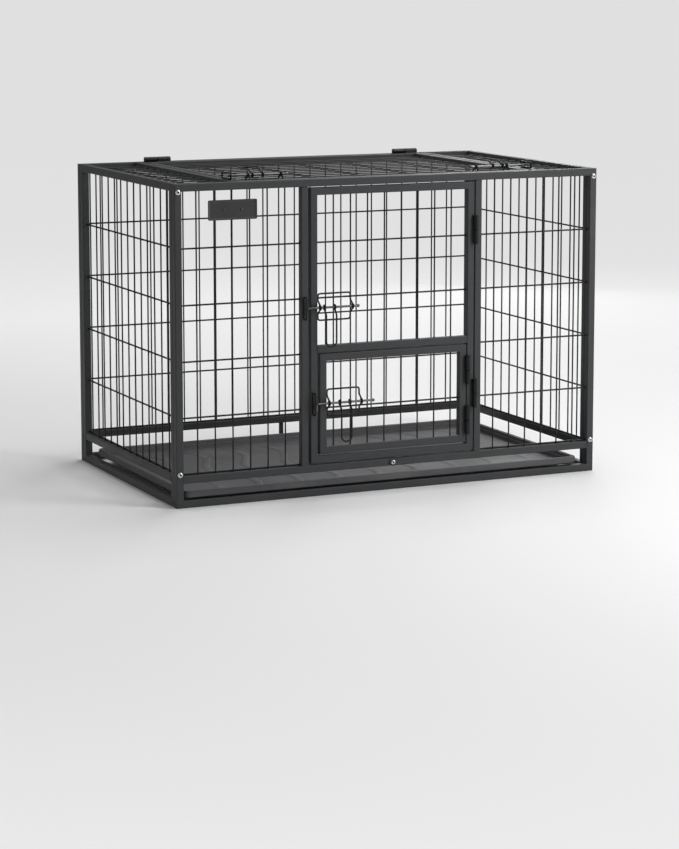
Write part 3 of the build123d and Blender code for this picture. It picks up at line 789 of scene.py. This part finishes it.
def rod_piece(name, centre, spot, way, turned):
    """way is -1 for a tip to the left and 1 to the right."""
    low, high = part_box(name)
    ball_r = 3.3 * mm
    tip = low.x if way < 0 else high.x
    stop = high.x - ball_r if way < 0 else low.x + ball_r
    bm = bmesh.new()
    corners = [spot(centre, stop, rod_out, 0), spot(centre, tip - way * rod_d / 2, rod_out, 0)]
    if turned:
        path = bend_path(corners + [spot(centre, tip - way * rod_d / 2, rod_out, 13.3 * mm)], rod_d, 8)
        last = path[-1]
        fall = (path[-1] - path[-2]).normalized()
    else:
        path = corners
        path[-1] = path[-1] + Vector((-way * rod_d * 0.2, 0, 0))
        last = path[-1]
        fall = Vector((way, 0, 0))
    radii = [rod_d / 2] * len(path)
    for lead, share in ((0.9, 0.93), (1.7, 0.76), (2.2, 0.45)):
        path.append(last + fall * lead * mm)
        radii.append(rod_d / 2 * share)
    sweep_round(bm, path, radii, 18)
    lathe(bm, spot(centre, stop, rod_out, 0), Vector((1, 0, 0)), [
        (ball_r * math.cos(a), ball_r * math.sin(a)) for a in (math.pi * (k + 0.3) / 12.6 for k in range(13))
    ])
    return bm


def handle_piece(name, body, centre, spot):
    low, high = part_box(name)
    left = low.x + latch_wire / 2 + 0.05 * mm
    right = high.x - latch_wire / 2 - 0.05 * mm
    out = rod_out + 9 * mm
    foot = 78.5 * mm - latch_wire / 2
    bm = bmesh.new()
    for x in (left, right):
        eye(bm, spot(centre, x, rod_out, 0))
        blob(bm, spot(centre, x, rod_out, eye_r), joint_blob)
    path = bend_path(
        [spot(centre, left, rod_out, eye_r), spot(centre, left, out, eye_r + 9 * mm),
         spot(centre, left, out, foot), spot(centre, right, out, foot),
         spot(centre, right, out, eye_r + 9 * mm), spot(centre, right, rod_out, eye_r)],
        10.5 * mm, 10,
    )
    sweep_round(bm, path, latch_wire / 2, 14)
    return as_piece(name + "_wire", bm, body, wire_coat, [name])


for name, parent, spot, way, turned in (
    ("door", "door", on_door, -1, False), ("small_door", "small_door", on_door, -1, True),
    ("lid_left", "lid", on_lid, -1, False), ("lid_right", "lid", on_lid, 1, False),
):
    low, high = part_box(name + "_bracket")
    centre = (low + high) / 2
    bracket_piece(name + "_bracket", parent, spot)
    bm = rod_piece(name + "_bolt", centre, spot, way, turned)
    as_piece(name + "_bolt_rod", bm, name + "_bolt", rod_steel, [name + "_bolt"])
    handle_piece(name + "_handle", name + "_handle", centre, spot)

# %% [markdown]
# Each rod tip goes through a tall loop of wire that stands on the tube beside
# the door or lid. The loop is pinched at the middle, so the rod can't rattle.

# %% Keeper loops


def keeper(bm, centre, spot, x):
    half = 21.75 * mm
    back = latch_wire / 2
    front = 13.75 * mm
    path = bend_path(
        [spot(centre, x, back, half), spot(centre, x, back, -half), spot(centre, x, front, -half),
         spot(centre, x, front - 1.2 * mm, 0), spot(centre, x, front, half)],
        3.6 * mm, 6, True,
    )
    sweep_round(bm, path, latch_wire / 2, 14, True)
    for side in (-1, 1):
        for fore in (-1, 1):
            edge = spot(centre, x + fore * 1.3 * mm, 0.5 * mm, side * 13 * mm)
            bead(bm, edge, spot(centre, x + fore * 1.3 * mm, 0.5 * mm, side * 3 * mm), small_bead)


for node, body in (("door_keeper", "cage"), ("small_door_keeper", "door")):
    low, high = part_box(node)
    bm = bmesh.new()
    keeper(bm, (low + high) / 2, on_door, (low.x + high.x) / 2)
    as_piece(node + "_loop", bm, body, wire_coat, [node])
low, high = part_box("lid_keepers")
bm = bmesh.new()
for x in (low.x + latch_wire / 2, high.x - latch_wire / 2):
    keeper(bm, (low + high) / 2, on_lid, x)
as_piece("lid_keeper_loops", bm, "cage", wire_coat, ["lid_keepers"])

# %% [markdown]
# The tray is one thin moulding. It is built as a stack of rounded rectangles:
# up the outside, over the rolled lip, down the inside and across the floor,
# which makes the rim band, the shadow line under it and the soft bottom edge.

# %% Tray shell
tray_lo, tray_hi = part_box("tray")
tray_mid = (tray_lo + tray_hi) / 2
corner_steps = 10
tray_corner = 15 * mm


def rounded_loop(bm, inset, z, corner_round):
    half_x = (tray_hi.x - tray_lo.x) / 2 - inset
    half_y = (tray_hi.y - tray_lo.y) / 2 - inset
    r = max(0.5 * mm, corner_round - inset)
    ring = []
    for sx, sy, start in ((1, 1, 0), (-1, 1, 1), (-1, -1, 2), (1, -1, 3)):
        for k in range(corner_steps + 1):
            a = math.pi / 2 * (start + k / corner_steps)
            ring.append(bm.verts.new(Vector((
                tray_mid.x + sx * (half_x - r) + r * math.cos(a),
                tray_mid.y + sy * (half_y - r) + r * math.sin(a), z,
            ))))
    return ring


base_z = tray_lo.z
wall_profile = [
    (30.0, 0.0), (13.0, 0.0), (11.5, 0.4), (11.0, 1.4), (11.0, 6.5), (10.7, 7.3), (9.8, 7.7), (8.0, 7.7),
    (7.2, 8.0), (7.0, 8.8), (7.0, 13.3), (6.6, 14.0), (5.4, 14.2), (3.4, 14.2), (2.7, 13.8), (2.5, 12.9),
    (2.5, 5.2), (2.2, 4.7), (0.4, 4.7), (0.0, 5.2), (0.0, 12.1), (0.15, 12.7), (0.55, 13.0), (0.6, 15.4),
    (0.9, 16.3), (1.7, 16.7), (3.0, 16.7), (3.3, 16.2), (4.5, 16.1), (4.8, 16.6), (8.2, 16.7), (9.1, 16.4),
    (9.5, 15.6), (9.7, 11.1), (10.0, 10.4), (10.7, 10.2), (12.5, 10.2), (13.2, 9.9), (13.5, 9.2), (13.7, 4.4),
    (14.3, 3.1), (16.0, 2.5), (20.0, 2.5),
]
bm = bmesh.new()
rings = [rounded_loop(bm, inset * mm, base_z + rise * mm, tray_corner) for inset, rise in wall_profile]
join_rings(bm, rings)
as_piece("tray_shell", bm, "tray", tray_plastic, ["tray"])

# %% [markdown]
# Ribs are pressed into the tray floor to stiffen it. Each runs across the tray
# in a slow wave and has a soft rounded section, so it is a flattened sweep.

# %% Tray ribs
floor_z = base_z + 2.5 * mm
bm = bmesh.new()
rib_count = 9
rib_steps = 40
rib_margin = 40 * mm  # from each rib end to the tray's edge
rib_sway = 22 * mm
rib_half = 9.0 * mm
rib_rise = 1.2 * mm
rib_sink = 0.3 * mm
for i in range(rib_count):
    x0 = tray_lo.x + (tray_hi.x - tray_lo.x) * (i + 1) / (rib_count + 1)
    rings = []
    for k in range(rib_steps + 1):
        t = k / rib_steps
        y = tray_lo.y + rib_margin + (tray_hi.y - tray_lo.y - 2 * rib_margin) * t
        x = x0 + rib_sway * math.sin(t * 3 * math.pi)
        grow = min(1, t / 0.03, (1 - t) / 0.03)
        half_w = rib_half * (0.25 + 0.75 * grow)
        rise = rib_rise * grow
        rings.append([
            bm.verts.new(Vector((x + half_w * math.cos(a), y, floor_z - rib_sink + rise * math.sin(a))))
            for a in (math.pi * n / 8 for n in range(9))
        ])
    for k in range(rib_steps):
        for n in range(8):
            bm.faces.new((rings[k][n], rings[k][n + 1], rings[k + 1][n + 1], rings[k + 1][n]))
as_piece("tray_ribs", bm, "tray", tray_plastic)

# %% [markdown]
# The panels are joined by button-head bolts with six-sided sockets, and each
# tray lock turns on a smaller one. A head is turned on a lathe whose last
# rings are six-sided, and the socket gets a near-black coat: painted shade.

# %% Bolts


def button_head(bm, centre, axis, radius, rise, socket):
    profile = [
        (0.0, radius * 0.4), (0.0, radius), (rise * 0.22, radius), (rise * 0.5, radius * 0.95),
        (rise * 0.78, radius * 0.8), (rise * 0.94, radius * 0.62), (rise, -socket * 1.06),
        (rise * 0.96, -socket), (rise * 0.3, -socket), (rise * 0.3, -socket * 0.3),
    ]
    before = len(bm.faces)
    lathe(bm, centre, axis, profile, 36)
    bm.faces.ensure_lookup_table()
    # Socket walls and floor take the second material, painted shade in the recess.
    for i in range(before + 36 * 7, len(bm.faces)):
        bm.faces[i].material_index = 1


bolt_rows = (66 * mm, 612 * mm)
bm = bmesh.new()
for x in (left_x + tube / 2, right_x - tube / 2):
    for z in bolt_rows:
        for y, way in ((front_y, -1), (back_y, 1)):
            axis = Vector((0, way, 0))
            button_head(bm, Vector((x, y, z)), axis, 5.5 * mm, 3.2 * mm, 2.0 * mm)
            lathe(bm, Vector((x, y, z)), axis, [(-24 * mm, 1 * mm), (-24 * mm, 3 * mm), (0, 3 * mm)], 20)
as_piece("panel_bolt_heads", bm, "cage", [bright_zinc, socket_painted_shade], ["panel_bolts"])
bpy.data.objects["panel_nuts"].data.materials.clear()
bpy.data.objects["panel_nuts"].data.materials.append(bright_zinc)

# %% Tray locks
strap_thick = 2.5 * mm
strap_reach = 33 * mm
strap_gap = 0.3 * mm  # strap to the rail's face


def strap(bm, centre, end, out):
    """Flat bar with a round head."""
    way = (end - centre).normalized()
    side = way.cross(out)
    head_r, half_w = 7.5 * mm, 5 * mm
    neck = math.asin(half_w / head_r)
    rim = []
    for k in range(25):
        a = neck + (2 * math.pi - 2 * neck) * k / 24
        rim.append(way * head_r * math.cos(a) + side * head_r * math.sin(a))
    reach = (end - centre).length
    for k in range(13):
        a = -math.pi / 2 + math.pi * k / 12
        rim.append(way * (reach + half_w * math.cos(a)) + side * half_w * math.sin(a))
    thick = strap_thick
    layers = [(0.0, 0.96), (0.25 * mm, 1.0), (thick - 0.35 * mm, 1.0), (thick, 0.95)]
    rings = []
    for height, share in layers:
        ring = []
        for p in rim:
            along = min(max(p.dot(way), 0), reach)
            spine = way * along
            ring.append(bm.verts.new(centre + spine + (p - spine) * share + out * height))
        rings.append(ring)
    join_rings(bm, rings)


lock_z = rail_z
for node, body, y, out, end in (
    ("front_lock", "front_lock", front_y, Vector((0, -1, 0)), Vector((strap_reach, 0, 0))),
    ("back_lock", "back_lock", back_y, Vector((0, 1, 0)), Vector((0, 0, -strap_reach))),
):
    centre = Vector((0, y, lock_z)) + out * strap_gap
    bm = bmesh.new()
    strap(bm, centre, centre + end, out)
    as_piece(node + "_strap", bm, body, frame_coat, [node])
    bm = bmesh.new()
    button_head(bm, Vector((0, y, lock_z)) + out * 3.1 * mm, out, 4.75 * mm, 3.0 * mm, 1.9 * mm)
    as_piece(node + "_screw", bm, "cage", [bright_zinc, socket_painted_shade], [node + "_bolt"])

# %% [markdown]
# A thin plate is riveted to the front mesh with a strip behind the wires. It
# is left bare: it carries a pressed border and its two rivet heads.

# %% Plate
low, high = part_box("name_plate")
mid = (low + high) / 2
face_y = low.y + 1.2 * mm
half_x, half_z = (high.x - low.x) / 2, (high.z - low.z) / 2


def plate_loop(bm, inset, y, corner):
    ring = []
    r = max(0.3 * mm, corner - inset)
    for sx, sz, start in ((1, 1, 0), (-1, 1, 1), (-1, -1, 2), (1, -1, 3)):
        for k in range(7):
            a = math.pi / 2 * (start + k / 6)
            ring.append(bm.verts.new(Vector((
                mid.x + sx * (half_x - inset - r) + r * math.cos(a), y,
                mid.z + sz * (half_z - inset - r) + r * math.sin(a),
            ))))
    return ring


bm = bmesh.new()
steps = [(0.6, 1.2), (0.0, 1.2), (0.0, 0.35), (0.35, 0.0), (2.6, 0.0), (3.2, 0.45), (3.8, 0.5), (8.0, 0.5)]
join_rings(bm, [plate_loop(bm, inset * mm, face_y + deep * mm, 3 * mm) for inset, deep in steps])
for side in (-1, 1):
    spot = Vector((mid.x + side * wire_pitch / 2, face_y + 0.5 * mm, mid.z))
    lathe(bm, spot, Vector((0, -1, 0)), [
        (0, 3.2 * mm), (0.4 * mm, 3.2 * mm), (1.1 * mm, 2.5 * mm), (1.6 * mm, 1.3 * mm), (1.7 * mm, 0.3 * mm),
    ], 24)
    lathe(bm, spot, Vector((0, 1, 0)), [(0, 2 * mm), (6 * mm, 2 * mm), (6 * mm, 0.5 * mm)], 16)
as_piece("bare_plate", bm, "cage", plate_coat, ["name_plate"])
strip = bpy.data.objects["plate_clip"]
strip.data.materials.clear()
strip.data.materials.append(frame_coat)

# %% [markdown]
# The crate stands on a plain pale floor under soft studio light. The key lamp
# is in front on the right with a small one low beside it, another hangs
# overhead, a faint one stands on the left and two stand behind on the right,
# one high for the roof and one low for the tray. The world is pale and even.

# %% Floor and lights
bpy.ops.mesh.primitive_plane_add(size=120, location=(0, 0, 0))
floor = bpy.context.object
floor.name = "studio_floor"
pale = bpy.data.materials.new("pale floor")
pale.use_nodes = True
tree = pale.node_tree
shader = tree.nodes["Principled BSDF"]
shader.inputs["Base Color"].default_value = (0.92, 0.92, 0.92, 1)
shader.inputs["Roughness"].default_value = 0.9
shader.inputs["Specular IOR Level"].default_value = 0.1
# Seen by the camera, the floor turns even and pale away from the crate, so
# that the shadow under the crate stays.
even = tree.nodes.new("ShaderNodeEmission")
even.inputs["Color"].default_value = (0.95, 0.95, 0.95, 1)
eye_ray = tree.nodes.new("ShaderNodeLightPath")
spot = tree.nodes.new("ShaderNodeNewGeometry").outputs["Position"]
reach = tree.nodes.new("ShaderNodeVectorMath")
reach.operation = "LENGTH"
tree.links.new(spot, reach.inputs[0])
away = reshape(tree, reach.outputs["Value"], 0.5, 2.4, 0.0, 0.7)
share = tree.nodes.new("ShaderNodeMath")
share.operation = "MULTIPLY"
mixed = tree.nodes.new("ShaderNodeMixShader")
tree.links.new(eye_ray.outputs["Is Camera Ray"], share.inputs[0])
tree.links.new(away, share.inputs[1])
tree.links.new(share.outputs["Value"], mixed.inputs["Fac"])
tree.links.new(shader.outputs["BSDF"], mixed.inputs[1])
tree.links.new(even.outputs["Emission"], mixed.inputs[2])
tree.links.new(mixed.outputs["Shader"], tree.nodes["Material Output"].inputs["Surface"])
floor.data.materials.append(pale)


def soft_lamp(name, place, size, power):
    data = bpy.data.lights.new(name, "AREA")
    data.shape = "DISK"
    data.size = size
    data.energy = power
    lamp = bpy.data.objects.new(name, data)
    bpy.context.collection.objects.link(lamp)
    lamp.location = place
    lamp.rotation_euler = (Vector((0, 0, 0.3)) - Vector(place)).to_track_quat("-Z", "Y").to_euler()
    lamp.visible_camera = False


soft_lamp("key lamp", (1.5, -2.0, 1.9), 1.2, 34)
soft_lamp("top lamp", (0.7, 0.3, 2.6), 1.6, 28)
soft_lamp("side lamp", (-2.8, -1.6, 1.8), 2.0, 2)
soft_lamp("rear lamp", (1.9, 2.4, 1.7), 1.0, 15)
soft_lamp("low rear lamp", (1.8, 2.5, 0.5), 0.6, 3)
soft_lamp("front lamp", (1.3, -1.7, 0.5), 0.6, 5)

world = bpy.data.worlds.new("studio")
bpy.context.scene.world = world
world.use_nodes = True
tree = world.node_tree
tree.nodes.clear()
rays = tree.nodes.new("ShaderNodeLightPath")
soft = tree.nodes.new("ShaderNodeBackground")
soft.inputs["Color"].default_value = (1, 1, 1, 1)
soft.inputs["Strength"].default_value = 0.3
white = tree.nodes.new("ShaderNodeBackground")
white.inputs["Strength"].default_value = 1.0
white.inputs["Color"].default_value = (1, 1, 1, 1)
seen = tree.nodes.new("ShaderNodeMath")
seen.operation = "MAXIMUM"
tree.links.new(rays.outputs["Is Camera Ray"], seen.inputs[0])
tree.links.new(rays.outputs["Is Transmission Ray"], seen.inputs[1])
pick = tree.nodes.new("ShaderNodeMixShader")
tree.links.new(seen.outputs["Value"], pick.inputs["Fac"])
tree.links.new(soft.outputs["Background"], pick.inputs[1])
tree.links.new(white.outputs["Background"], pick.inputs[2])
out = tree.nodes.new("ShaderNodeOutputWorld")
tree.links.new(pick.outputs["Shader"], out.inputs["Surface"])
bpy.context.scene.view_settings.view_transform = "Standard"
print("lamps:", len(bpy.data.lights))

# %% [markdown]
# The camera stands in front and to the left, a little above the roof, with a
# long lens, so the left end shows beside the front.

# %% Camera
lens = bpy.data.cameras.new("camera")
camera = bpy.data.objects.new("camera", lens)
bpy.context.collection.objects.link(camera)
lens.sensor_width = 36
lens.lens = 111.6
lens.shift_y = -0.110
lens.clip_end = 200
look_down = 0.1411
turn = 0.4328
camera.location = (-2.2652, -4.9285, 1.0541)
camera.rotation_euler = (math.pi / 2 - look_down, 0, -turn)
bpy.context.scene.camera = camera
